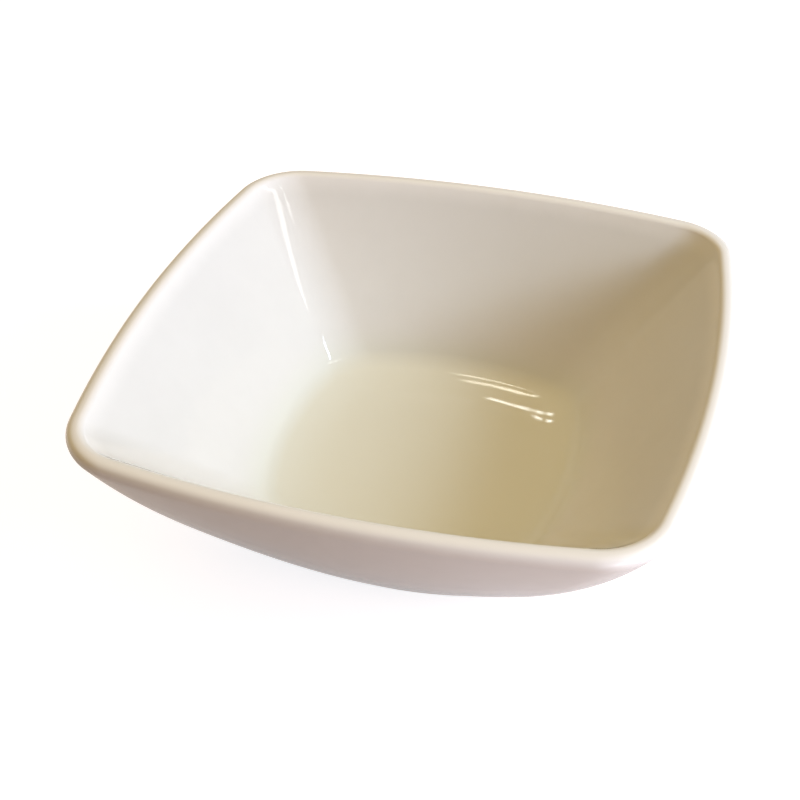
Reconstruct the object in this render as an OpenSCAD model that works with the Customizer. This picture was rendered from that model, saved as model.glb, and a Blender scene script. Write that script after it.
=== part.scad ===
// Square bowl of glazed stoneware: bowed sides, soft corners, a rounded lip, straight inner walls and a
// full outer belly that tucks under to a bare foot ring. The clay body carries a thin glaze inside,
// outside and in the hollow of its underside. Origin: centre of the standing face, +Z up.

/* [Rim] */
// Width across the bowl, from the middle of one side to the middle of the opposite one
rim_w = 140; // [110:1:180]
// Radius of the shallow arc that each side of the rim follows
rim_side_r = 312; // [150:1:600]
// Radius of the rim's corners
rim_corner_r = 17.4; // [8:0.2:30]
// Thickness of the rounded lip
lip_t = 4.6; // [2.6:0.1:6]

/* [Wall] */
// Height from the table to the crest of the lip
bowl_h = 46; // [38:0.5:70]
// Lean of the outer wall just below the lip, away from upright
outer_lean = 23; // [8:1:32]
// How far down the belly keeps to the lean at the lip
belly_drop = 11.5; // [6:0.5:20]
// Lean of the outer wall where it reaches the heel, away from upright
heel_lean = 45; // [34:1:60]
// How far up the belly keeps to the lean at the heel
belly_rise = 14.5; // [6:0.5:20]
// Radius of the sides where the belly meets the heel
heel_side_r = 92; // [70:1:300]
// Radius of the corners where the belly meets the heel
heel_corner_r = 21.5; // [12:0.5:30]
// Radius of the heel, the turn from the belly to the underside
heel_r = 3; // [1:0.1:6]

/* [Floor] */
// Width of the inner floor, measured where the wall's line meets the floor
floor_w = 70; // [52:1:78]
// Thickness between the inner floor and the underside, glaze included
floor_t = 5; // [3.5:0.1:9]
// Radius of the arc that each side of the floor follows
floor_side_r = 80; // [60:1:300]
// Radius of the floor's corners
floor_corner_r = 14; // [8:0.5:22]
// Radius of the hollow between the floor and the wall
floor_fillet_r = 8; // [3:0.5:14]

/* [Foot] */
// Width across the foot ring
foot_w = 80; // [60:1:96]
// Height of the foot ring below the glazed underside
foot_h = 2.5; // [1.5:0.1:6]
// Thickness of the foot ring
foot_t = 4; // [2.5:0.1:9]

/* [Glaze] */
// Thickness of the glaze coat
glaze_t = 0.3; // [0.2:0.05:0.5]
// Bare line wiped clean of glaze on each side of the foot ring
wipe_line = 0.6; // [0.2:0.1:3]

/* [Fineness] */
// Straight steps along each side
side_steps = 8; // [6:1:12]
// Straight steps round each corner
corner_steps = 8; // [6:1:12]
// Steps round each half of the lip
lip_steps = 4; // [3:1:6]
// Steps down the belly
belly_steps = 9; // [6:1:14]
// Steps round the heel
heel_steps = 2; // [2:1:5]
// Steps down the inner wall
wall_steps = 5; // [3:1:8]
// Steps round the hollow at the floor
fillet_steps = 4; // [3:1:6]

/* [Hidden] */

// The lip is a round bead; its middle is one radius in from the width and down from the height
lip_r = lip_t / 2;
lip_mid = [rim_w / 2 - lip_r, bowl_h - lip_r];
floor_z = foot_h + floor_t;
floor_half = floor_w / 2;
foot_half = foot_w / 2;
// Level of the clay under the bowl, which the foot ring reaches and the glaze hangs from
clay_z = foot_h + glaze_t;

// The inner wall is the straight line from the floor's edge that just grazes the lip's bead
to_lip = lip_mid - [floor_half, floor_z];
inner_lean = atan2(to_lip[0], to_lip[1]) - asin(lip_r / norm(to_lip));
wall_top = lip_mid + lip_r * [-cos(inner_lean), sin(inner_lean)];
// Length that the floor's hollow takes from the wall and from the floor
fillet_reach = floor_fillet_r * tan((90 - inner_lean) / 2);
fillet_mid = [floor_half - fillet_reach, floor_z + floor_fillet_r];
wall_foot = fillet_mid + floor_fillet_r * [cos(inner_lean), -sin(inner_lean)];

// The belly is one curve from the lip to the heel, which ends a wiped line outside the foot ring
heel_mid = [foot_half + wipe_line, foot_h + heel_r];
belly_top = lip_mid + lip_r * [cos(outer_lean), -sin(outer_lean)];
belly_foot = heel_mid + heel_r * [cos(heel_lean), -sin(heel_lean)];
belly_pulls = [
    belly_top - belly_drop * [tan(outer_lean), 1],
    belly_foot + belly_rise * [tan(heel_lean), 1]
];

function mix(a, b, share) = a + (b - a) * share;
function unit(v) = v / norm(v);

// A station is one level of a wall: [half-width, height, normal out of the glaze, side radius, corner radius]
function station(at, normal, side_r, corner_r) = [at[0], at[1], normal[0], normal[1], side_r, corner_r];

// A station on a round bead keeps parallel to the outline whose half-width and radii are given
function bead_station(middle, radius, angle, half, side_r, corner_r) =
    let(
        normal = [cos(angle), sin(angle)],
        at = middle + radius * normal,
        inset = half - at[0]
    )
    station(at, normal, side_r - inset, corner_r - inset);
function lip_station(angle) =
    bead_station(lip_mid, lip_r, angle, rim_w / 2, rim_side_r, rim_corner_r);
function heel_station(angle) =
    bead_station(heel_mid, heel_r, angle, belly_foot[0], heel_side_r, heel_corner_r);

// Between the beads the sides bow out more and more on the way from the top station to the low one
function wall_station(at, normal, top, low) =
    let(
        share = (at[0] - low[0]) / (top[0] - low[0]),
        bow = mix(low[0] / low[4], top[0] / top[4], share)
    )
    station(at, normal, at[0] / bow, mix(low[5], top[5], share));

// Stations of the outside, from the crest of the lip round the heel to the underside
outer_top = lip_station(-outer_lean);
outer_low = heel_station(-heel_lean);
function belly_station(t) =
    let(
        a = mix(belly_top, belly_pulls[0], t),
        b = mix(belly_pulls[0], belly_pulls[1], t),
        c = mix(belly_pulls[1], belly_foot, t),
        run = unit(mix(b, c, t) - mix(a, b, t))
    )
    wall_station(mix(mix(a, b, t), mix(b, c, t), t), [-run[1], run[0]], outer_top, outer_low);
outer_stations = concat(
    [for (i = [0 : lip_steps]) lip_station(mix(90, 0, i / lip_steps))],
    [for (i = [0 : belly_steps - 1]) belly_station(i / belly_steps)],
    [for (i = [0 : heel_steps]) heel_station(mix(-heel_lean, -90, i / heel_steps))]
);

// Stations of the inside, from the crest of the lip down to the flat of the floor
inner_top = lip_station(180 - inner_lean);
inner_low = station([floor_half, floor_z], [0, 1], floor_side_r, floor_corner_r);
function hollow_normal(turn) = [-cos(turn), sin(turn)];
inner_stations = concat(
    [for (i = [0 : lip_steps]) lip_station(mix(90, 180 - inner_lean, i / lip_steps))],
    [for (i = [1 : wall_steps]) let(at = mix(wall_top, wall_foot, i / wall_steps))
        wall_station(at, hollow_normal(inner_lean), inner_top, inner_low)],
    [for (i = [1 : fillet_steps]) let(normal = hollow_normal(mix(inner_lean, 90, i / fillet_steps)))
        wall_station(fillet_mid - floor_fillet_r * normal, normal, inner_top, inner_low)]
);

// Corners of one level: four bowed sides joined by four smaller arcs that run smoothly into them
function outline(half, side_r, corner_r) =
    let(
        side_mid = half - side_r,
        reach = side_r - corner_r,
        corner_mid = (side_mid + sqrt(2 * reach * reach - side_mid * side_mid)) / 2,
        turn = atan2(corner_mid, corner_mid - side_mid)
    )
    [for (quarter = [0 : 3]) each concat(
        [for (i = [0 : side_steps - 1]) let(a = mix(-turn, turn, i / side_steps))
            turned([side_mid + side_r * cos(a), side_r * sin(a)], quarter)],
        [for (i = [0 : corner_steps - 1]) let(a = mix(turn, 90 - turn, i / corner_steps))
            turned([corner_mid + corner_r * cos(a), corner_mid + corner_r * sin(a)], quarter)]
    )];
function turned(p, quarter) =
    quarter == 0 ? p : turned([-p[1], p[0]], quarter - 1);

// Points of a station's level, sunk a depth below the glaze's surface
function level(s, depth) =
    let(inset = depth * s[2], z = s[1] - depth * s[3])
    [for (p = outline(s[0] - inset, s[4] - inset, s[5] - inset)) [p[0], p[1], z]];
function levels(stations, depth) = [for (s = stations) each level(s, depth)];
function below_crest(stations) = [for (i = [1 : len(stations) - 1]) stations[i]];

// Triangles; rings are counted from zero and hold per_ring points each
per_ring = 4 * (side_steps + corner_steps);
function faced(triangles, flip) = flip ? [for (t = triangles) [t[2], t[1], t[0]]] : triangles;
function band(upper, lower, flip) =
    let(a = upper * per_ring, b = lower * per_ring)
    faced([for (i = [0 : per_ring - 1]) let(j = (i + 1) % per_ring)
        each [[a + i, b + i, b + j], [a + i, b + j, a + j]]], flip);
function skin(first, last, flip) =
    [for (i = [first : last - 1]) each band(i, i + 1, flip)];
function cap(ring, middle, flip) =
    let(a = ring * per_ring)
    faced([for (i = [0 : per_ring - 1]) [a + i, middle, a + (i + 1) % per_ring]], flip);

// The fired clay: inner wall and floor, then from the crest the outer wall and the flat underside
module clay_body() {
    outer = below_crest(outer_stations);
    inner_count = len(inner_stations);
    count = inner_count + len(outer);
    points = concat(
        levels(inner_stations, glaze_t),
        levels(outer, glaze_t),
        [[0, 0, floor_z - glaze_t], [0, 0, clay_z]]
    );
    color("tan") polyhedron(points, concat(
        skin(0, inner_count - 1, false),
        cap(inner_count - 1, count * per_ring, false),
        band(0, inner_count, true),
        skin(inner_count, count - 1, true),
        cap(count - 1, count * per_ring + 1, true)
    ));
}

// The coat inside, from the crest of the lip to the floor
module liner_glaze() {
    count = len(inner_stations);
    middle = 2 * count * per_ring;
    points = concat(
        levels(inner_stations, 0),
        levels(inner_stations, glaze_t),
        [[0, 0, floor_z], [0, 0, floor_z - glaze_t]]
    );
    color("ivory") polyhedron(points, concat(
        skin(0, count - 1, false),
        cap(count - 1, middle, false),
        skin(count, 2 * count - 1, true),
        cap(2 * count - 1, middle + 1, true),
        band(0, count, true)
    ));
}

// The coat outside, from the crest of the lip to the end of the heel
module outer_glaze() {
    count = len(outer_stations);
    points = concat(levels(outer_stations, 0), levels(outer_stations, glaze_t));
    color("mistyrose") polyhedron(points, concat(
        skin(0, count - 1, true),
        skin(count, 2 * count - 1, false),
        band(0, count, false),
        band(count - 1, 2 * count - 1, true)
    ));
}

// Outline of the underside, parallel to the heel, at a given half-width
module underside_outline(half) {
    inset = belly_foot[0] - half;
    polygon(outline(half, heel_side_r - inset, heel_corner_r - inset));
}

// The bare ring that the bowl stands on
module foot_ring() {
    color("wheat") linear_extrude(clay_z) difference() {
        underside_outline(foot_half);
        underside_outline(foot_half - foot_t);
    }
}

// The coat in the hollow of the underside
module base_glaze() {
    color("ivory") translate([0, 0, foot_h]) linear_extrude(glaze_t)
        underside_outline(foot_half - foot_t - wipe_line);
}

clay_body();
foot_ring();
liner_glaze();
outer_glaze();
base_glaze();
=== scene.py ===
"""Looks of a square stoneware bowl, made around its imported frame. Metres, +Z up, standing on z = 0."""
import math
from collections import namedtuple

import bpy
from mathutils import Matrix, Vector


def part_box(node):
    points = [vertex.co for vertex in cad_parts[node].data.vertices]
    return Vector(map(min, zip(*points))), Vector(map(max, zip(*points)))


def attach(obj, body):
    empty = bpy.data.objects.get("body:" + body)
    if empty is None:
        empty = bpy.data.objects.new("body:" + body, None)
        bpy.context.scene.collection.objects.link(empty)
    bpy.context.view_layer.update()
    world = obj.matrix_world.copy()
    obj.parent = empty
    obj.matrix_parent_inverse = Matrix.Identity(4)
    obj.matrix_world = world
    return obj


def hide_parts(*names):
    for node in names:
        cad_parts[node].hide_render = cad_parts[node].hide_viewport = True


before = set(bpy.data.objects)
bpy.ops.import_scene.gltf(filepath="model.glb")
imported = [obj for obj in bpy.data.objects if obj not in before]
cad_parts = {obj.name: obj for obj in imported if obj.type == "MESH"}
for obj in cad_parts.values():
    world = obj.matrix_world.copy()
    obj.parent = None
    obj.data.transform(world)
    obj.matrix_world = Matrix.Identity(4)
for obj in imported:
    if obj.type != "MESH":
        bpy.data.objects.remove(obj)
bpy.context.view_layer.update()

MM = 0.001
QUARTER_TURN = math.pi / 2

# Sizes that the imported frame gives
RIM_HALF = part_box("outer_glaze")[1].x
BOWL_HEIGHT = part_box("outer_glaze")[1].z
FOOT_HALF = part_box("foot_ring")[1].x
CLAY_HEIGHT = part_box("foot_ring")[1].z
FOOT_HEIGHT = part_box("base_glaze")[0].z
GLAZE = CLAY_HEIGHT - FOOT_HEIGHT
FLOOR_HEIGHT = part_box("liner_glaze")[0].z + GLAZE

# Rim and lip
RIM_SIDE_R = 312 * MM
RIM_CORNER_R = 17.4 * MM
LIP_R = 2.3 * MM
LIP_SHOULDER = 0.10

# Outer wall
OUTER_LEAN = math.radians(23)
BELLY_DROP = 11.5 * MM
HEEL_LEAN = math.radians(45)
BELLY_RISE = 14.5 * MM
HEEL_SIDE_R = 92 * MM
HEEL_CORNER_R = 21.5 * MM
HEEL_R = 3 * MM

# Floor inside
FLOOR_HALF = 35 * MM
FLOOR_SIDE_R = 80 * MM
FLOOR_CORNER_R = 14 * MM
FLOOR_HOLLOW_R = 8 * MM
FLOOR_RISE = 1.0 * MM
FLOOR_RISE_REACH = 10 * MM
FLOOR_RISE_SLOPE = 2 * FLOOR_RISE / FLOOR_RISE_REACH

# Foot
FOOT_THICK = 4 * MM
FOOT_EDGE_R = 0.7 * MM
WIPED_LINE = 0.6 * MM

# Steps of the fine meshes
SIDE_STEPS = 40
CORNER_STEPS = 24
LIP_STEPS = 36
BELLY_STEPS = 28
HEEL_STEPS = 8
WALL_STEPS = 20
HOLLOW_STEPS = 14
DISH_STEPS = 10
FLOOR_STEPS = 8
EDGE_STEPS = 5

# Slight unevenness of the hand-finished walls, none at the foot, and the gap that seams are closed over
UNEVENNESS = 0.06 * MM
WAVE_LENGTH = 45 * MM
CALM_HEIGHT = 6 * MM
WAVE_SEED = 3.0
SEAM_GAP = 0.001 * MM
SHARP_ANGLE = math.radians(40)

# The camera's place, seen from the middle of the rim, and the pixel where that middle shows
PHOTO_SIDE = 800
SENSOR = 36.0
CAMERA_AZIMUTH = 15.603
CAMERA_ELEVATION = 34.974
CAMERA_ROLL = math.radians(-0.195)
CAMERA_DISTANCE = 337.34 * MM
CAMERA_LENS = 65.108
CAMERA_NEAR = 0.01
RIM_MIDDLE_PIXEL = (424.6, 328.7)

# Glaze colours and finish
LINER_WHITE = (0.80, 0.76, 0.695)
OUTER_WHITE = (0.80, 0.753, 0.712)
BASE_WHITE = (0.80, 0.755, 0.70)
# Lip colour: partly the warm thin glaze over the rim, partly painted light, lighter than the glaze below to
# stand in for the light on the rim
LIP_CREAM_AND_PAINTED_LIGHT = (0.92, 0.87, 0.80)
POOL_OLIVE = (0.78, 0.76, 0.65)
HEEL_OLIVE = (0.76, 0.72, 0.63)
PINHOLE_TONE = (0.55, 0.47, 0.38)
GLAZE_MOTTLE = 0.97
GLAZE_PATCH = 38 * MM
GLAZE_FLECK = 4.5 * MM
GLAZE_PATCH_WEIGHT = 0.75
GLAZE_ROUGHNESS = 0.02
PATCH_DULLNESS = 0.015
FLECK_DULLNESS = 0.02
GLAZE_IOR = 1.52
LIP_FADE = 4.5 * MM
LIP_WAVER = 0.8 * MM
LIP_STRENGTH = 0.85
LIP_DULLNESS = 0.03
POOL_WAVER = 2 * MM
LINER_POOL_RISE = 10 * MM
HEEL_POOL_RISE = 5 * MM
HEEL_POOL_SINK = 1 * MM
PINHOLE_CELL = 5.5 * MM
PINHOLE_R = 0.22 * MM
PINHOLE_RARITY = 0.86
PINHOLE_STRENGTH = 0.35
PINHOLE_DEPTH = 0.03 * MM
RIPPLE_WIDTH = 13 * MM
RIPPLE_DEPTH = 0.008 * MM
PEEL_WIDTH = 2.2 * MM
PEEL_DEPTH = 0.001 * MM

# Clay colours and finish
CLAY_BUFF = (0.60, 0.49, 0.37)
FOOT_BUFF = (0.66, 0.56, 0.44)
CLAY_PALE = (0.76, 0.69, 0.58)
IRON_SPECK = (0.22, 0.14, 0.09)
CLAY_SHADE = 0.78
CLAY_PATCH = 16 * MM
CLAY_GRAIN = 0.7 * MM
CLAY_PATCH_WEIGHT = 0.6
WORN_STRENGTH = 0.6
IRON_CELL = 1.6 * MM
IRON_R = 0.16 * MM
IRON_RARITY = 0.72
IRON_STRENGTH = 0.7
GROG_CELL = 1.1 * MM
GROG_R = 0.2 * MM
GROG_RARITY = 0.8
GROG_STRENGTH = 0.5
GROG_DEPTH = 0.03 * MM
GRAIN_DULLNESS = 0.12
BODY_GRAIN_DEPTH = 0.06 * MM
BODY_ROUGHNESS = 0.78
FOOT_GRAIN_DEPTH = 0.03 * MM
FOOT_ROUGHNESS = 0.62

# Floor paint and the white that the camera sees around the bowl
FLOOR_REACH = 3.0
FLOOR_PAINT = (0.48, 0.40, 0.35)
FLOOR_WHITE = (0.955, 0.97, 1.0)
FLOOR_BRIGHT = 0.87
FLOOR_MIRRORED = 0.5
SURROUND_MIRRORED = 0.25

# Soft light of the room: azimuth, elevation, sharpness, red, green and blue glow
SURROUND_GLOWS = (
    (0, 68, 10, (0.60, 0.42, 0.24)),
    (185, 62, 8, (0.72, 0.65, 0.47)),
    (0, 90, 5, (0.48, 0.36, 0.12)),
    (230, 55, 8, (0.48, 0.33, 0.09)),
    (275, 40, 8, (0.28, 0.23, 0.15)),
    (68, 8, 12, (2.18, 1.87, 2.26)),
)

# Spread of a lamp that shines to all sides in front of it, in degrees
WIDE = 180

# The window: azimuth and elevation of both ends, seen from the bowl, and its face
KEY_ENDS = ((70, 16), (112, 34))
KEY_DISTANCE = 1.0
KEY_HEIGHT = 0.14
KEY_GLOW = 33.5
KEY_TINT = (0.65, 0.79, 0.985)

# Cards lower than the rim, which light only the outer walls: name, plan of both ends and of the point faced,
# glow, tint and whether the card shows in the glaze
CARD_LEVEL = 0.022
CARD_HEIGHT = 0.04
CARDS = (
    ("left_card", (-0.26, 0.13), (-0.26, -0.03), (-0.06, 0.02), 7.0, (0.86, 0.93, 1), False),
    ("back_card", (-0.13, 0.27), (0.10, 0.27), (0, 0.06), 4.0, (0.90, 0.94, 1), False),
    ("low_card", (0.17, -0.255), (0.27, -0.065), (0.03, -0.06), 5.8, (0.98, 0.93, 1), True),
)

# Panes that show in the back left corner: name, both ends, thickness, point faced
PANE_GLOW = 4.0
PANE_WHITE = (1, 1, 1)
PANES = (
    ("corner_strip", (0.472, 0.147, 0.886), (0.692, 0.427, 0.575), 0.05, (-0.05, 0.045, 0.032)),
    ("corner_pane", (0.394, -0.01, 0.933), (0.458, 0.022, 0.896), 0.03, (-0.052, 0.053, 0.038)),
)

# Thin tubes that show as streaks on the floor: name, plan of both ends, thickness, plan of the point faced,
# spread in degrees, tint
TUBE_LEVEL = 0.27
STREAK_LEVEL = 0.008
TUBE_GLOW = 14
TUBE_WARM = (1, 0.95, 0.8)
TUBE_PALE = (1, 1, 0.95)
TUBES = (
    ("tube_near", (-0.0595, 0.178), (-0.0495, 0.178), 0.016, (0.011, 0.033), 4, TUBE_WARM),
    ("tube_far", (-0.0605, 0.208), (-0.0475, 0.208), 0.01, (0.014, 0.031), 4, TUBE_WARM),
    ("tube_low", (-0.0585, 0.2755), (-0.048, 0.2755), 0.011, (0.016, 0.0257), 4, TUBE_PALE),
    ("fork_high", (-0.0705, 0.2765), (-0.056, 0.2765), 0.007, (0.0245, 0.0242), 3, TUBE_PALE),
    ("fork_high_end", (-0.0845, 0.28), (-0.0705, 0.2775), 0.007, (0.0275, 0.024), 3, TUBE_PALE),
    ("fork_low", (-0.0705, 0.2975), (-0.056, 0.295), 0.006, (0.0245, 0.0225), 3, TUBE_PALE),
    ("fork_low_end", (-0.092, 0.307), (-0.0715, 0.299), 0.006, (0.0285, 0.0216), 3, TUBE_PALE),
)


# The bowl's profile


Level = namedtuple("Level", "half height out up side_r corner_r")


def mix(a, b, share):
    return a + (b - a) * share


def steps(count, first=0):
    """Shares from first / count to one."""
    return [i / count for i in range(first, count + 1)]


def bead_level(middle, radius, angle, outline):
    """A level on a round bead keeps parallel to the outline that is given as half-width and two radii."""
    normal = Vector((math.cos(angle), math.sin(angle)))
    at = middle + radius * normal
    half, side_r, corner_r = outline
    inset = half - at.x
    return Level(at.x, at.y, normal.x, normal.y, side_r - inset, corner_r - inset)


def wall_level(at, normal, top, low):
    """Between two beads the sides bow out more and more on the way down."""
    share = (at.x - low.half) / (top.half - low.half)
    bow = mix(low.half / low.side_r, top.half / top.side_r, share)
    corner_r = mix(low.corner_r, top.corner_r, share)
    return Level(at.x, at.y, normal.x, normal.y, at.x / bow, corner_r)


def sunk(level, depth):
    """The same level, a depth below the glaze's surface."""
    inset = depth * level.out
    return level._replace(
        half=level.half - inset,
        height=level.height - depth * level.up,
        side_r=level.side_r - inset,
        corner_r=level.corner_r - inset,
    )


def drawn_in(level, share):
    """The same level, shrunk towards the bowl's middle."""
    return level._replace(
        half=level.half * share,
        side_r=level.side_r * share,
        corner_r=level.corner_r * share,
    )


LIP_MIDDLE = Vector((RIM_HALF - LIP_R, BOWL_HEIGHT - LIP_R))
FLOOR_EDGE = Vector((FLOOR_HALF, FLOOR_HEIGHT))
TO_LIP = LIP_MIDDLE - FLOOR_EDGE
INNER_LEAN = math.atan2(TO_LIP.x, TO_LIP.y) - math.asin(LIP_R / TO_LIP.length)
INNER_NORMAL = Vector((-math.cos(INNER_LEAN), math.sin(INNER_LEAN)))
WALL_TOP = LIP_MIDDLE + LIP_R * INNER_NORMAL
HOLLOW_REACH = FLOOR_HOLLOW_R * math.tan((QUARTER_TURN - INNER_LEAN) / 2)
HOLLOW_MIDDLE = Vector((FLOOR_HALF - HOLLOW_REACH, FLOOR_HEIGHT + FLOOR_HOLLOW_R))
HOLLOW_MIDDLE += FLOOR_RISE * Vector((math.tan(INNER_LEAN), 1))
WALL_FOOT = HOLLOW_MIDDLE - FLOOR_HOLLOW_R * INNER_NORMAL

HEEL_MIDDLE = Vector((FOOT_HALF + WIPED_LINE, FOOT_HEIGHT + HEEL_R))
BELLY_TOP = LIP_MIDDLE + LIP_R * Vector((math.cos(OUTER_LEAN), -math.sin(OUTER_LEAN)))
BELLY_FOOT = HEEL_MIDDLE + HEEL_R * Vector((math.cos(HEEL_LEAN), -math.sin(HEEL_LEAN)))
BELLY_PULLS = (
    BELLY_TOP - BELLY_DROP * Vector((math.tan(OUTER_LEAN), 1)),
    BELLY_FOOT + BELLY_RISE * Vector((math.tan(HEEL_LEAN), 1)),
)
RIM_OUTLINE = (RIM_HALF, RIM_SIDE_R, RIM_CORNER_R)
HEEL_OUTLINE = (BELLY_FOOT.x, HEEL_SIDE_R, HEEL_CORNER_R)


def lip_level(angle):
    """A level of the lip, which is a round bead with a fuller shoulder on the outside."""
    share = max(QUARTER_TURN - angle, 0) / (QUARTER_TURN + OUTER_LEAN)
    fuller = 1 + LIP_SHOULDER * math.sin(math.pi * share) ** 2
    return bead_level(LIP_MIDDLE, LIP_R * fuller, angle, RIM_OUTLINE)


def heel_level(angle):
    return bead_level(HEEL_MIDDLE, HEEL_R, angle, HEEL_OUTLINE)


def underside_level(half, height):
    """A level below the bowl, parallel to the heel's outline."""
    return bead_level(Vector((half, height)), 0, -QUARTER_TURN, HEEL_OUTLINE)


def belly_level(share):
    first = mix(BELLY_TOP, BELLY_PULLS[0], share)
    second = mix(BELLY_PULLS[0], BELLY_PULLS[1], share)
    third = mix(BELLY_PULLS[1], BELLY_FOOT, share)
    before, after = mix(first, second, share), mix(second, third, share)
    run = (after - before).normalized()
    top, low = lip_level(-OUTER_LEAN), heel_level(-HEEL_LEAN)
    return wall_level(mix(before, after, share), Vector((-run.y, run.x)), top, low)


def inside_level(at, turn):
    """A level of the inner wall or the hollow at the floor, where the surface has turned from upright."""
    normal = Vector((-math.cos(turn), math.sin(turn)))
    low = Level(FLOOR_HALF, FLOOR_HEIGHT, 0, 1, FLOOR_SIDE_R, FLOOR_CORNER_R)
    place = HOLLOW_MIDDLE - FLOOR_HOLLOW_R * normal if at is None else at
    return wall_level(place, normal, lip_level(math.pi - INNER_LEAN), low)


def dished_level(edge, share):
    """A level of the floor, which sinks from the hollow's end and grows flat on the way in."""
    slope = FLOOR_RISE_SLOPE * (1 - share)
    inset = share * FLOOR_RISE_REACH
    drop = inset * (FLOOR_RISE_SLOPE + slope) / 2
    level = drawn_in(edge, 1 - inset / edge.half)
    return level._replace(height=edge.height - drop, out=-math.sin(slope), up=math.cos(slope))


def outside_levels():
    """From the crest of the lip down the belly to just before the end of the heel."""
    roll_start = -math.acos(GLAZE / HEEL_R)
    lip = [lip_level(mix(QUARTER_TURN, -OUTER_LEAN, s)) for s in steps(LIP_STEPS)]
    belly = [belly_level(s) for s in steps(BELLY_STEPS, 1)]
    heel = [heel_level(mix(-HEEL_LEAN, roll_start, s)) for s in steps(HEEL_STEPS, 1)]
    return lip + belly + heel


def inside_levels():
    """From the crest of the lip down the wall to the middle of the floor."""
    lip = [lip_level(mix(QUARTER_TURN, math.pi - INNER_LEAN, s)) for s in steps(LIP_STEPS)]
    wall = [inside_level(mix(WALL_TOP, WALL_FOOT, s), INNER_LEAN) for s in steps(WALL_STEPS, 1)]
    hollow_end = QUARTER_TURN - FLOOR_RISE_SLOPE
    hollow = [inside_level(None, mix(INNER_LEAN, hollow_end, s)) for s in steps(HOLLOW_STEPS, 1)]
    dish = [dished_level(hollow[-1], s) for s in steps(DISH_STEPS, 1)]
    floor = [drawn_in(dish[-1], 1 - s) for s in steps(FLOOR_STEPS, 1)]
    return lip + wall + hollow + dish + floor


def rolled_edge(half, level_at):
    """The rounded end of a coat, from its surface up to the clay, at a half-width."""
    rolled = []
    for share in steps(EDGE_STEPS, 1):
        turn = share * QUARTER_TURN
        reach = GLAZE * (1 - math.sin(turn))
        rolled.append(level_at(half, reach, FOOT_HEIGHT + GLAZE * (1 - math.cos(turn))))
    return rolled


# Arithmetic in node trees


class NodeNumber:
    """A number in a node tree, so that a rule can be written as plain arithmetic."""

    def __init__(self, tree, socket):
        self.tree = tree
        self.socket = socket

    def math(self, operation, *others):
        node = self.tree.nodes.new("ShaderNodeMath")
        node.operation = operation
        for place, value in enumerate((self, *others)):
            if isinstance(value, NodeNumber):
                self.tree.links.new(value.socket, node.inputs[place])
            else:
                node.inputs[place].default_value = value
        return NodeNumber(self.tree, node.outputs[0])

    def __add__(self, other):
        return self.math("ADD", other)

    def __sub__(self, other):
        return self.math("SUBTRACT", other)

    def __mul__(self, other):
        return self.math("MULTIPLY", other)

    def __truediv__(self, other):
        return self.math("DIVIDE", other)


# The sweep: each level's square outline, laid round the profile


def add_input(tree, name, kind, value=None):
    socket = tree.interface.new_socket(name, in_out="INPUT", socket_type=kind)
    if value is not None:
        socket.default_value = value
    return socket.identifier


def square_outline(tree, half, side_r, corner_r, place, side_steps, corner_steps):
    """X and Y of a point on the outline: four bowed sides, joined by four smaller arcs."""
    per_quarter = side_steps + corner_steps
    quarter = (place / per_quarter).math("FLOOR")
    step = place - quarter * per_quarter
    on_corner = step.math("GREATER_THAN", side_steps - 0.5)
    side_middle = half - side_r
    reach = side_r - corner_r
    root = (reach * reach * 2 - side_middle * side_middle).math("SQRT")
    corner_middle = (side_middle + root) * 0.5
    turn = corner_middle.math("ARCTAN2", corner_middle - side_middle)
    side_angle = turn * (step / side_steps * 2 - 1)
    corner_share = (step - side_steps) / corner_steps
    corner_angle = turn + (turn * -2 + QUARTER_TURN) * corner_share
    angle = side_angle + (corner_angle - side_angle) * on_corner
    radius = side_r + (corner_r - side_r) * on_corner
    along = side_middle + (corner_middle - side_middle) * on_corner
    x = along + radius * angle.math("COSINE")
    y = corner_middle * on_corner + radius * angle.math("SINE")
    cosine = (quarter * QUARTER_TURN).math("COSINE")
    sine = (quarter * QUARTER_TURN).math("SINE")
    return x * cosine - y * sine, x * sine + y * cosine


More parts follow.
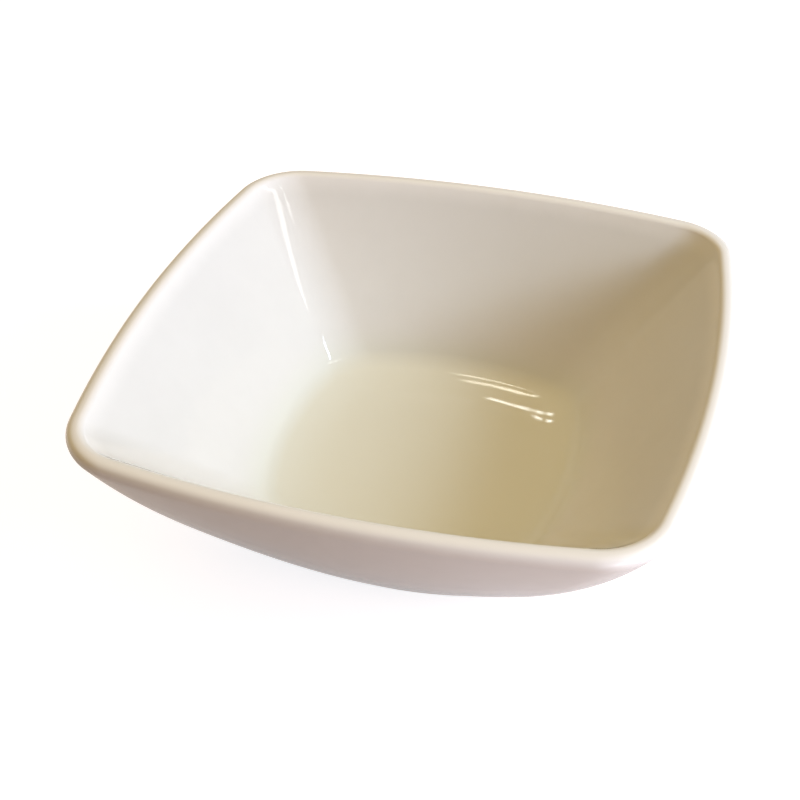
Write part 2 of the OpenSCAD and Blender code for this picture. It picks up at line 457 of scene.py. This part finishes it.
def sweep_tree():
    """Geometry Nodes that turn a drawn profile into a square wall, slightly uneven as if hand-finished."""
    tree = bpy.data.node_groups.new("square_sweep", "GeometryNodeTree")
    tree.interface.new_socket("Geometry", in_out="INPUT", socket_type="NodeSocketGeometry")
    tree.interface.new_socket("Geometry", in_out="OUTPUT", socket_type="NodeSocketGeometry")
    names = {
        "side_steps": add_input(tree, "Side Steps", "NodeSocketInt", SIDE_STEPS),
        "corner_steps": add_input(tree, "Corner Steps", "NodeSocketInt", CORNER_STEPS),
        "unevenness": add_input(tree, "Unevenness", "NodeSocketFloat", 0.0),
        "wave": add_input(tree, "Wave Length", "NodeSocketFloat", WAVE_LENGTH),
        "calm_height": add_input(tree, "Calm Height", "NodeSocketFloat", CALM_HEIGHT),
        "seed": add_input(tree, "Seed", "NodeSocketFloat", WAVE_SEED),
        "finish": add_input(tree, "Finish", "NodeSocketMaterial"),
    }
    nodes, links = tree.nodes, tree.links
    given = nodes.new("NodeGroupInput")

    def given_socket(name):
        return next(socket for socket in given.outputs if socket.identifier == names[name])

    def number(name):
        return NodeNumber(tree, given_socket(name))

    def attribute(name):
        node = nodes.new("GeometryNodeInputNamedAttribute")
        node.data_type = "FLOAT"
        node.inputs["Name"].default_value = name
        return NodeNumber(tree, node.outputs["Attribute"])

    profile = nodes.new("GeometryNodeMeshToCurve")
    links.new(given.outputs["Geometry"], profile.inputs["Mesh"])
    ring = nodes.new("GeometryNodeCurvePrimitiveCircle")
    per_ring = (number("side_steps") + number("corner_steps")) * 4
    links.new(per_ring.socket, ring.inputs["Resolution"])
    counted = nodes.new("GeometryNodeStoreNamedAttribute")
    counted.data_type = "FLOAT"
    counted.domain = "POINT"
    counted.inputs["Name"].default_value = "place"
    links.new(ring.outputs["Curve"], counted.inputs["Geometry"])
    links.new(nodes.new("GeometryNodeInputIndex").outputs["Index"], counted.inputs["Value"])
    wall = nodes.new("GeometryNodeCurveToMesh")
    links.new(profile.outputs["Curve"], wall.inputs["Curve"])
    links.new(counted.outputs["Geometry"], wall.inputs["Profile Curve"])

    x, y = square_outline(
        tree, attribute("half"), attribute("side_r"), attribute("corner_r"),
        attribute("place"), number("side_steps"), number("corner_steps"),
    )
    height = attribute("height")
    point = nodes.new("ShaderNodeCombineXYZ")
    for socket, value in zip(point.inputs, (x, y, height)):
        links.new(value.socket, socket)
    placed = nodes.new("GeometryNodeSetPosition")
    links.new(wall.outputs["Mesh"], placed.inputs["Geometry"])
    links.new(point.outputs["Vector"], placed.inputs["Position"])

    noise = nodes.new("ShaderNodeTexNoise")
    noise.noise_dimensions = "4D"
    noise.inputs["Detail"].default_value = 0.0
    links.new(nodes.new("GeometryNodeInputPosition").outputs["Position"], noise.inputs["Vector"])
    links.new(number("seed").socket, noise.inputs["W"])
    links.new((number("wave").math("POWER", -1.0)).socket, noise.inputs["Scale"])
    centred = nodes.new("ShaderNodeVectorMath")
    centred.operation = "SUBTRACT"
    centred.inputs[1].default_value = (0.5, 0.5, 0.5)
    links.new(noise.outputs["Color"], centred.inputs[0])
    rise = (height / number("calm_height") - 1).math("MAXIMUM", 0.0).math("MINIMUM", 1.0)
    strength = number("unevenness") * rise * 2
    push = nodes.new("ShaderNodeVectorMath")
    push.operation = "SCALE"
    links.new(centred.outputs["Vector"], push.inputs[0])
    links.new(strength.socket, push.inputs["Scale"])
    uneven = nodes.new("GeometryNodeSetPosition")
    links.new(placed.outputs["Geometry"], uneven.inputs["Geometry"])
    links.new(push.outputs["Vector"], uneven.inputs["Offset"])

    closed = nodes.new("GeometryNodeMergeByDistance")
    closed.inputs["Distance"].default_value = SEAM_GAP
    links.new(uneven.outputs["Geometry"], closed.inputs["Geometry"])
    outward = nodes.new("GeometryNodeFlipFaces")
    links.new(closed.outputs["Geometry"], outward.inputs["Mesh"])
    smooth = nodes.new("GeometryNodeSetShadeSmooth")
    links.new(outward.outputs["Mesh"], smooth.inputs["Geometry"])
    real = nodes.new("GeometryNodeRealizeInstances")
    links.new(smooth.outputs["Geometry"], real.inputs["Geometry"])
    finished = nodes.new("GeometryNodeSetMaterial")
    links.new(real.outputs["Geometry"], finished.inputs["Geometry"])
    links.new(given_socket("finish"), finished.inputs["Material"])
    result = nodes.new("NodeGroupOutput")
    links.new(finished.outputs["Geometry"], result.inputs["Geometry"])
    return tree, names


SWEEP, SWEEP_INPUTS = sweep_tree()
PROFILE_FIELDS = ("half", "height", "side_r", "corner_r")


def swept_piece(name, levels, finish, slot, closed_loop, unevenness):
    """Draws the profile that the levels give, sweeps it and makes it a plain mesh that rides on the bowl."""
    drawing = bpy.data.meshes.new(name + "_profile")
    edges = [(i, i + 1) for i in range(len(levels) - 1)]
    if closed_loop:
        edges.append((len(levels) - 1, 0))
    drawing.from_pydata([(level.half, 0, level.height) for level in levels], edges, [])
    for field in PROFILE_FIELDS:
        column = drawing.attributes.new(field, "FLOAT", "POINT")
        column.data.foreach_set("value", [getattr(level, field) for level in levels])
    profile = bpy.data.objects.new(name + "_profile", drawing)
    bpy.context.scene.collection.objects.link(profile)
    sweep = profile.modifiers.new("sweep", "NODES")
    sweep.node_group = SWEEP
    sweep[SWEEP_INPUTS["side_steps"]] = SIDE_STEPS
    sweep[SWEEP_INPUTS["corner_steps"]] = CORNER_STEPS
    sweep[SWEEP_INPUTS["unevenness"]] = unevenness
    sweep[SWEEP_INPUTS["wave"]] = WAVE_LENGTH
    sweep[SWEEP_INPUTS["calm_height"]] = CALM_HEIGHT
    sweep[SWEEP_INPUTS["seed"]] = WAVE_SEED
    sweep[SWEEP_INPUTS["finish"]] = finish
    depsgraph = bpy.context.evaluated_depsgraph_get()
    mesh = bpy.data.meshes.new_from_object(profile.evaluated_get(depsgraph), depsgraph=depsgraph)
    bpy.data.objects.remove(profile)
    mesh.name = name
    for field in (*PROFILE_FIELDS, "place"):
        mesh.attributes.remove(mesh.attributes[field])
    mesh.set_sharp_from_angle(angle=SHARP_ANGLE)
    piece = bpy.data.objects.new(name, mesh)
    bpy.context.scene.collection.objects.link(piece)
    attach(piece, "root")
    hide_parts(slot[0])


# Materials


def new_material(name):
    material = bpy.data.materials.new(name)
    material.use_nodes = True
    tree = material.node_tree
    return material, tree, tree.nodes["Principled BSDF"]


def cloud(tree, point, size, detail):
    """Soft patches, about as wide as the size."""
    node = tree.nodes.new("ShaderNodeTexNoise")
    node.inputs["Scale"].default_value = 1 / size
    node.inputs["Detail"].default_value = detail
    tree.links.new(point, node.inputs["Vector"])
    return NodeNumber(tree, node.outputs["Fac"])


def specks(tree, point, size, reach, rarity):
    """Round specks in a few cells of the given size: one at a speck's middle, zero outside its reach."""
    node = tree.nodes.new("ShaderNodeTexVoronoi")
    node.inputs["Scale"].default_value = 1 / size
    tree.links.new(point, node.inputs["Vector"])
    lot = tree.nodes.new("ShaderNodeSeparateColor")
    tree.links.new(node.outputs["Color"], lot.inputs["Color"])
    chosen = NodeNumber(tree, lot.outputs["Red"]).math("GREATER_THAN", rarity)
    return fade(NodeNumber(tree, node.outputs["Distance"]), reach / size, 0.0) * chosen


def fade(number, start, end):
    """Zero at the start value, one at the end value, with soft ends."""
    node = number.tree.nodes.new("ShaderNodeMapRange")
    node.interpolation_type = "SMOOTHSTEP"
    turned = start > end
    node.inputs["From Min"].default_value = min(start, end)
    node.inputs["From Max"].default_value = max(start, end)
    node.inputs["To Min"].default_value = 1.0 if turned else 0.0
    node.inputs["To Max"].default_value = 0.0 if turned else 1.0
    number.tree.links.new(number.socket, node.inputs["Value"])
    return NodeNumber(number.tree, node.outputs["Result"])


def blended(share, first, second):
    """A colour on the way from the first to the second; each is a colour or the socket of one."""
    tree = share.tree
    node = tree.nodes.new("ShaderNodeMix")
    node.data_type = "RGBA"
    tree.links.new(share.socket, node.inputs["Factor"])
    for socket, colour in ((node.inputs[6], first), (node.inputs[7], second)):
        if isinstance(colour, tuple):
            socket.default_value = (*colour, 1)
        else:
            tree.links.new(colour, socket)
    return node.outputs[2]


def surface_point(tree):
    return tree.nodes.new("ShaderNodeTexCoord").outputs["Object"]


def height_of(tree, point):
    parts = tree.nodes.new("ShaderNodeSeparateXYZ")
    tree.links.new(point, parts.inputs["Vector"])
    return NodeNumber(tree, parts.outputs["Z"])


def raised(tree, shader, reliefs):
    """Bump from several reliefs, each a height from zero to one and its depth in metres."""
    below = None
    for height, depth in reliefs:
        bump = tree.nodes.new("ShaderNodeBump")
        bump.inputs["Distance"].default_value = depth
        tree.links.new(height.socket, bump.inputs["Height"])
        if below:
            tree.links.new(below, bump.inputs["Normal"])
        below = bump.outputs["Normal"]
    tree.links.new(below, shader.inputs["Normal"])


def glaze_material(name, white, lip_cream_and_painted_light=None, pool=None, pool_from=0.0, pool_to=0.0):
    """Glossy glaze that goes less thick and warm over the lip, with the lip also painted lighter as painted
    light on the rim, and gathers, a little darker, where it pools.
    """
    material, tree, shader = new_material(name)
    point = surface_point(tree)
    height = height_of(tree, point)
    broad = cloud(tree, point, GLAZE_PATCH, 2.0)
    fine = cloud(tree, point, GLAZE_FLECK, 3.0)
    shade = tuple(part * GLAZE_MOTTLE for part in white)
    mottle = broad * GLAZE_PATCH_WEIGHT + fine * (1 - GLAZE_PATCH_WEIGHT)
    colour = blended(fade(mottle, 0.32, 0.68), shade, white)
    gloss = fade(broad, 0.3, 0.7) * PATCH_DULLNESS + fine * FLECK_DULLNESS + GLAZE_ROUGHNESS
    if pool:
        gathered = fade(height + (broad - 0.5) * POOL_WAVER, pool_from, pool_to)
        colour = blended(gathered, colour, pool)
    # On the lip: warm thin glaze, and painted light, a lighter colour standing in for the light that falls
    # on the rim
    if lip_cream_and_painted_light:
        thin_glaze_and_painted_light = fade(height + (fine - 0.5) * LIP_WAVER, BOWL_HEIGHT - LIP_FADE, BOWL_HEIGHT)
        colour = blended(thin_glaze_and_painted_light * LIP_STRENGTH, colour, lip_cream_and_painted_light)
        gloss = gloss + thin_glaze_and_painted_light * LIP_DULLNESS
    pinholes = specks(tree, point, PINHOLE_CELL, PINHOLE_R, PINHOLE_RARITY)
    colour = blended(pinholes * PINHOLE_STRENGTH, colour, PINHOLE_TONE)
    tree.links.new(colour, shader.inputs["Base Color"])
    tree.links.new(gloss.socket, shader.inputs["Roughness"])
    shader.inputs["IOR"].default_value = GLAZE_IOR
    ripple = cloud(tree, point, RIPPLE_WIDTH, 1.0)
    peel = cloud(tree, point, PEEL_WIDTH, 1.0)
    raised(tree, shader, (
        (ripple, RIPPLE_DEPTH),
        (peel, PEEL_DEPTH),
        (pinholes * -1 + 1, PINHOLE_DEPTH),
    ))
    return material


def clay_material(name, clay, worn, grain_depth, roughness):
    """Bare fired clay: sandy grain, iron specks and paler grog."""
    material, tree, shader = new_material(name)
    point = surface_point(tree)
    broad = cloud(tree, point, CLAY_PATCH, 4.0)
    grain = cloud(tree, point, CLAY_GRAIN, 3.0)
    dark = tuple(part * CLAY_SHADE for part in clay)
    mottle = broad * CLAY_PATCH_WEIGHT + grain * (1 - CLAY_PATCH_WEIGHT)
    colour = blended(fade(mottle, 0.3, 0.7), dark, clay)
    colour = blended(fade(broad, 0.52, 0.72) * WORN_STRENGTH, colour, worn)
    iron = specks(tree, point, IRON_CELL, IRON_R, IRON_RARITY)
    grog = specks(tree, point, GROG_CELL, GROG_R, GROG_RARITY)
    colour = blended(iron * IRON_STRENGTH, colour, IRON_SPECK)
    colour = blended(grog * GROG_STRENGTH, colour, worn)
    tree.links.new(colour, shader.inputs["Base Color"])
    tree.links.new((grain * GRAIN_DULLNESS + roughness).socket, shader.inputs["Roughness"])
    raised(tree, shader, ((grain, grain_depth), (grog, GROG_DEPTH)))
    return material


# Pieces


def outer_coat_levels():
    outside = outside_levels()
    end_half = HEEL_MIDDLE.x
    edge = rolled_edge(end_half, lambda half, reach, height: underside_level(half + reach, height))
    clay_side = [sunk(level, GLAZE) for level in reversed(outside)]
    return outside + edge + clay_side


def liner_coat_levels():
    inside = inside_levels()
    clay_side = [sunk(level, GLAZE) for level in inside]
    return list(reversed(inside)) + clay_side


def clay_levels():
    inside = [sunk(level, GLAZE) for level in reversed(inside_levels())]
    outside = [sunk(level, GLAZE) for level in outside_levels()[1:]]
    end = underside_level(HEEL_MIDDLE.x, CLAY_HEIGHT)
    underside = [drawn_in(end, 1 - share) for share in steps(FLOOR_STEPS)]
    return inside + outside + underside


def foot_levels():
    inner = FOOT_HALF - FOOT_THICK
    levels = [underside_level(FOOT_HALF, CLAY_HEIGHT)]
    for middle, start in ((FOOT_HALF - FOOT_EDGE_R, 0), (inner + FOOT_EDGE_R, -QUARTER_TURN)):
        for share in steps(EDGE_STEPS):
            angle = start - share * QUARTER_TURN
            half = middle + FOOT_EDGE_R * math.cos(angle)
            levels.append(underside_level(half, FOOT_EDGE_R * (1 + math.sin(angle))))
    levels.append(underside_level(inner, CLAY_HEIGHT))
    return levels


def base_coat_levels():
    half = FOOT_HALF - FOOT_THICK - WIPED_LINE
    clay_side = underside_level(half, CLAY_HEIGHT)
    top = [drawn_in(clay_side, share) for share in steps(FLOOR_STEPS)]
    edge = rolled_edge(half, lambda at, reach, height: underside_level(at - reach, height))
    low = underside_level(half - GLAZE, FOOT_HEIGHT)
    bottom = [drawn_in(low, 1 - share) for share in steps(FLOOR_STEPS)]
    return top + list(reversed(edge))[1:] + bottom


liner_finish = glaze_material(
    "liner_white_glaze", LINER_WHITE, LIP_CREAM_AND_PAINTED_LIGHT, POOL_OLIVE, FLOOR_HEIGHT + LINER_POOL_RISE, FLOOR_HEIGHT,
)
outer_finish = glaze_material(
    "outer_white_glaze", OUTER_WHITE, LIP_CREAM_AND_PAINTED_LIGHT, HEEL_OLIVE,
    FOOT_HEIGHT + HEEL_POOL_RISE, FOOT_HEIGHT - HEEL_POOL_SINK,
)
base_finish = glaze_material("base_white_glaze", BASE_WHITE)
clay_finish = clay_material("fired_stoneware", CLAY_BUFF, CLAY_PALE, BODY_GRAIN_DEPTH, BODY_ROUGHNESS)
foot_finish = clay_material("ground_foot", FOOT_BUFF, CLAY_PALE, FOOT_GRAIN_DEPTH, FOOT_ROUGHNESS)

swept_piece(
    "liner_coat", liner_coat_levels(), liner_finish, ("liner_glaze", "liner_glaze"),
    closed_loop=False, unevenness=UNEVENNESS,
)
swept_piece(
    "outer_coat", outer_coat_levels(), outer_finish, ("outer_glaze", "outer_glaze"),
    closed_loop=True, unevenness=UNEVENNESS,
)
swept_piece(
    "clay_wall", clay_levels(), clay_finish, ("clay_body", "stoneware_clay"),
    closed_loop=False, unevenness=UNEVENNESS,
)
swept_piece(
    "bare_foot", foot_levels(), foot_finish, ("foot_ring", "bare_foot"),
    closed_loop=True, unevenness=0.0,
)
swept_piece(
    "base_coat", base_coat_levels(), base_finish, ("base_glaze", "base_glaze"),
    closed_loop=False, unevenness=0.0,
)


# Stage: floor, light and camera


def seen_directly(tree, glossy_share):
    """How far a ray looks at the background itself: the camera's rays in full, mirrored ones in part."""
    path = tree.nodes.new("ShaderNodeLightPath")
    camera = NodeNumber(tree, path.outputs["Is Camera Ray"])
    glossy = NodeNumber(tree, path.outputs["Is Glossy Ray"])
    through = NodeNumber(tree, path.outputs["Is Transmission Ray"])
    return camera.math("MAXIMUM", glossy.math("MAXIMUM", through) * glossy_share)


def pale_floor():
    mesh = bpy.data.meshes.new("pale_floor")
    corners = [(x * FLOOR_REACH, y * FLOOR_REACH, 0) for x, y in ((-1, -1), (1, -1), (1, 1), (-1, 1))]
    mesh.from_pydata(corners, [], [(0, 1, 2, 3)])
    floor = bpy.data.objects.new("pale_floor", mesh)
    bpy.context.scene.collection.objects.link(floor)
    material = bpy.data.materials.new("pale_floor")
    material.use_nodes = True
    tree = material.node_tree
    tree.nodes.remove(tree.nodes["Principled BSDF"])
    paint = tree.nodes.new("ShaderNodeBsdfDiffuse")
    paint.inputs["Color"].default_value = (*FLOOR_PAINT, 1)
    glow = tree.nodes.new("ShaderNodeEmission")
    glow.inputs["Color"].default_value = (*FLOOR_WHITE, 1)
    tree.links.new((seen_directly(tree, FLOOR_MIRRORED) * FLOOR_BRIGHT).socket, glow.inputs["Strength"])
    both = tree.nodes.new("ShaderNodeAddShader")
    tree.links.new(paint.outputs["BSDF"], both.inputs[0])
    tree.links.new(glow.outputs["Emission"], both.inputs[1])
    tree.links.new(both.outputs["Shader"], tree.nodes["Material Output"].inputs["Surface"])
    mesh.materials.append(material)


def flat_lamp(name, start, end, thickness, faces, spread, glow, tint):
    """A flat lamp along the line from start to end, whose face looks at a point with a given brightness."""
    middle = (start + end) / 2
    away = (middle - faces).normalized()
    along = end - start
    along -= away * along.dot(away)
    half_spread = math.radians(spread) / 2
    sent = 1 if spread == WIDE else 1 - half_spread / math.tan(half_spread)
    lamp = bpy.data.lights.new(name, "AREA")
    lamp.shape = "RECTANGLE"
    lamp.size = along.length
    lamp.size_y = thickness
    lamp.spread = math.radians(spread)
    lamp.energy = glow * math.pi * lamp.size * lamp.size_y * sent
    lamp.color = tint
    holder = bpy.data.objects.new(name, lamp)
    along.normalize()
    turned = Matrix((along, away.cross(along), away)).transposed()
    holder.matrix_world = Matrix.Translation(middle) @ turned.to_4x4()
    bpy.context.scene.collection.objects.link(holder)
    return holder


def compass(azimuth, elevation):
    """A direction from the bowl: azimuth counts from the front towards the right, in degrees."""
    turn, rise = math.radians(azimuth), math.radians(elevation)
    return Vector((math.sin(turn) * math.cos(rise), -math.cos(turn) * math.cos(rise), math.sin(rise)))


def window_key():
    """A wide soft lamp that faces the bowl, between two directions."""
    bowl_middle = Vector((0, 0, BOWL_HEIGHT / 2))
    start, end = (bowl_middle + compass(*place) * KEY_DISTANCE for place in KEY_ENDS)
    flat_lamp("window_key", start, end, KEY_HEIGHT, bowl_middle, WIDE, KEY_GLOW, KEY_TINT)


def card(name, start, end, faces, glow, tint, shows):
    """A low lamp that lights an outer wall."""
    start, end, faces = (Vector((*plan, CARD_LEVEL)) for plan in (start, end, faces))
    holder = flat_lamp(name, start, end, CARD_HEIGHT, faces, WIDE, glow, tint)
    holder.visible_glossy = shows


def pane(name, start, end, thickness, faces):
    flat_lamp(name, Vector(start), Vector(end), thickness, Vector(faces), WIDE, PANE_GLOW, PANE_WHITE)


def tube(name, start, end, thickness, faces, spread, tint):
    start, end = (Vector((*plan, TUBE_LEVEL)) for plan in (start, end))
    flat_lamp(name, start, end, thickness, Vector((*faces, STREAK_LEVEL)), spread, TUBE_GLOW, tint)


def photo_camera():
    camera = bpy.data.cameras.new("photo_camera")
    camera.lens = CAMERA_LENS
    camera.sensor_width = SENSOR
    camera.clip_start = CAMERA_NEAR
    holder = bpy.data.objects.new("photo_camera", camera)
    back = compass(CAMERA_AZIMUTH, CAMERA_ELEVATION)
    azimuth = math.radians(CAMERA_AZIMUTH)
    level_right = Vector((math.cos(azimuth), math.sin(azimuth), 0))
    level_up = back.cross(level_right)
    right = level_right * math.cos(CAMERA_ROLL) + level_up * math.sin(CAMERA_ROLL)
    up = level_up * math.cos(CAMERA_ROLL) - level_right * math.sin(CAMERA_ROLL)
    focal = CAMERA_LENS / SENSOR * PHOTO_SIDE
    middle = PHOTO_SIDE / 2
    aim = Vector(((RIM_MIDDLE_PIXEL[0] - middle) / focal, (middle - RIM_MIDDLE_PIXEL[1]) / focal, -1))
    turn = Vector((0, 0, -1)).rotation_difference(aim.normalized()).to_matrix()
    looking = Matrix((right, up, back)).transposed() @ turn.transposed()
    rim_middle = Vector((0, 0, BOWL_HEIGHT))
    holder.matrix_world = Matrix.Translation(rim_middle + back * CAMERA_DISTANCE) @ looking.to_4x4()
    bpy.context.scene.collection.objects.link(holder)
    bpy.context.scene.camera = holder


def white_surround(glows):
    """A white room to the camera, whose light swells softly towards a few directions."""
    world = bpy.data.worlds.new("white_surround")
    world.use_nodes = True
    bpy.context.scene.world = world
    tree = world.node_tree
    looking = tree.nodes.new("ShaderNodeTexCoord").outputs["Generated"]
    light = None
    for azimuth, elevation, sharpness, tint in glows:
        towards = tree.nodes.new("ShaderNodeVectorMath")
        towards.operation = "DOT_PRODUCT"
        tree.links.new(looking, towards.inputs[0])
        towards.inputs[1].default_value = compass(azimuth, elevation)
        swell = NodeNumber(tree, towards.outputs["Value"]).math("MAXIMUM", 0.0).math("POWER", sharpness)
        glow = tree.nodes.new("ShaderNodeVectorMath")
        glow.operation = "SCALE"
        glow.inputs[0].default_value = tint
        tree.links.new(swell.socket, glow.inputs["Scale"])
        if light is None:
            light = glow
            continue
        total = tree.nodes.new("ShaderNodeVectorMath")
        tree.links.new(light.outputs["Vector"], total.inputs[0])
        tree.links.new(glow.outputs["Vector"], total.inputs[1])
        light = total
    soft = tree.nodes["Background"]
    tree.links.new(light.outputs["Vector"], soft.inputs["Color"])
    white = tree.nodes.new("ShaderNodeBackground")
    white.inputs["Color"].default_value = (1, 1, 1, 1)
    choice = tree.nodes.new("ShaderNodeMixShader")
    tree.links.new(seen_directly(tree, SURROUND_MIRRORED).socket, choice.inputs["Fac"])
    tree.links.new(soft.outputs["Background"], choice.inputs[1])
    tree.links.new(white.outputs["Background"], choice.inputs[2])
    tree.links.new(choice.outputs["Shader"], tree.nodes["World Output"].inputs["Surface"])


pale_floor()
white_surround(SURROUND_GLOWS)
window_key()
for lamp in CARDS:
    card(*lamp)
for lamp in PANES:
    pane(*lamp)
for lamp in TUBES:
    tube(*lamp)
photo_camera()
bpy.context.scene.view_settings.view_transform = "Standard"
